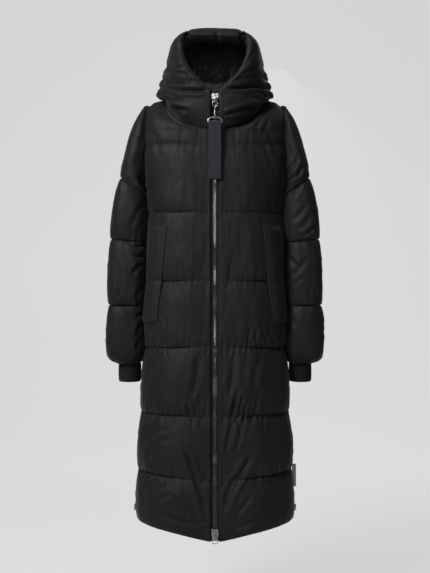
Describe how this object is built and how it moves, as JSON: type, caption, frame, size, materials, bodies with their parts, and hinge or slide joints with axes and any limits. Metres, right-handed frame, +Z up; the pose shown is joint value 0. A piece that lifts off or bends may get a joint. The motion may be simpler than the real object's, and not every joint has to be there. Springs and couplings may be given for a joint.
{
  "type": "long hooded puffer coat",
  "caption": "Long quilted and padded coat with a hood, ribbed cuffs, slanted pocket welts and a two-way front zip with a webbing pull.",
  "frame": {"origin": "midway between the two points where the shoulder seams meet the neck, where the wearer's shoulders and neck hold the coat up", "axes": "+Z up, the front faces -Y, the wearer's left side is +X"},
  "size_m": [0.564, 0.3311, 1.2996],
  "materials": {
    "shell": "matt satin woven polyester, quilted and padded",
    "rib_knit": "ribbed knit",
    "webbing": "flat woven webbing",
    "zip_tape": "herringbone tape",
    "zip_metal": "dark polished metal",
    "polished_metal": "polished silver metal",
    "side_tab": "plain folded tape"
  },
  "bodies": {
    "coat": {"front_left_hem": "shell", "front_left_waist": "shell", "front_left_chest": "shell", "front_right_hem": "shell", "front_right_waist": "shell", "front_right_chest": "shell", "back_hem": "shell", "back_waist": "shell", "back_chest": "shell", "sleeve_left_upper": "shell", "sleeve_left_lower": "shell", "sleeve_right_upper": "shell", "sleeve_right_lower": "shell", "hood_left": "shell", "hood_right": "shell", "hood_centre": "shell", "storm_flap": "shell", "pocket_welt_left": "shell", "pocket_welt_right": "shell", "cuff_left": "rib_knit", "cuff_right": "rib_knit", "zip_tape_left": "zip_tape", "zip_tape_right": "zip_tape", "zip_chain": "zip_metal", "bottom_slider": "zip_metal", "press_stud_left": "zip_metal", "press_stud_right": "zip_metal", "top_slider": "polished_metal", "side_tab": "side_tab"},
    "top_pull": {"pull_ring": "polished_metal", "pull_hook": "polished_metal"},
    "strap_pull": {"half_ring": "polished_metal", "strap": "webbing"},
    "bottom_ring": {"bottom_pull": "zip_metal"}
  },
  "joints": [
    {"name": "top_pull_swing", "type": "hinge", "parent": "coat", "child": "top_pull", "pos_m": [0, -0.13079, -0.0142], "axis": [-1, 0, 0], "range_deg": [0, 80]},
    {"name": "strap_swing", "type": "hinge", "parent": "top_pull", "child": "strap_pull", "pos_m": [0, -0.1425, -0.0564], "axis": [-1, 0, 0], "range_deg": [0, 80]},
    {"name": "bottom_ring_swing", "type": "hinge", "parent": "coat", "child": "bottom_ring", "pos_m": [0, -0.16062, -1.0966], "axis": [-1, 0, 0], "range_deg": [0, 150]}
  ]
}
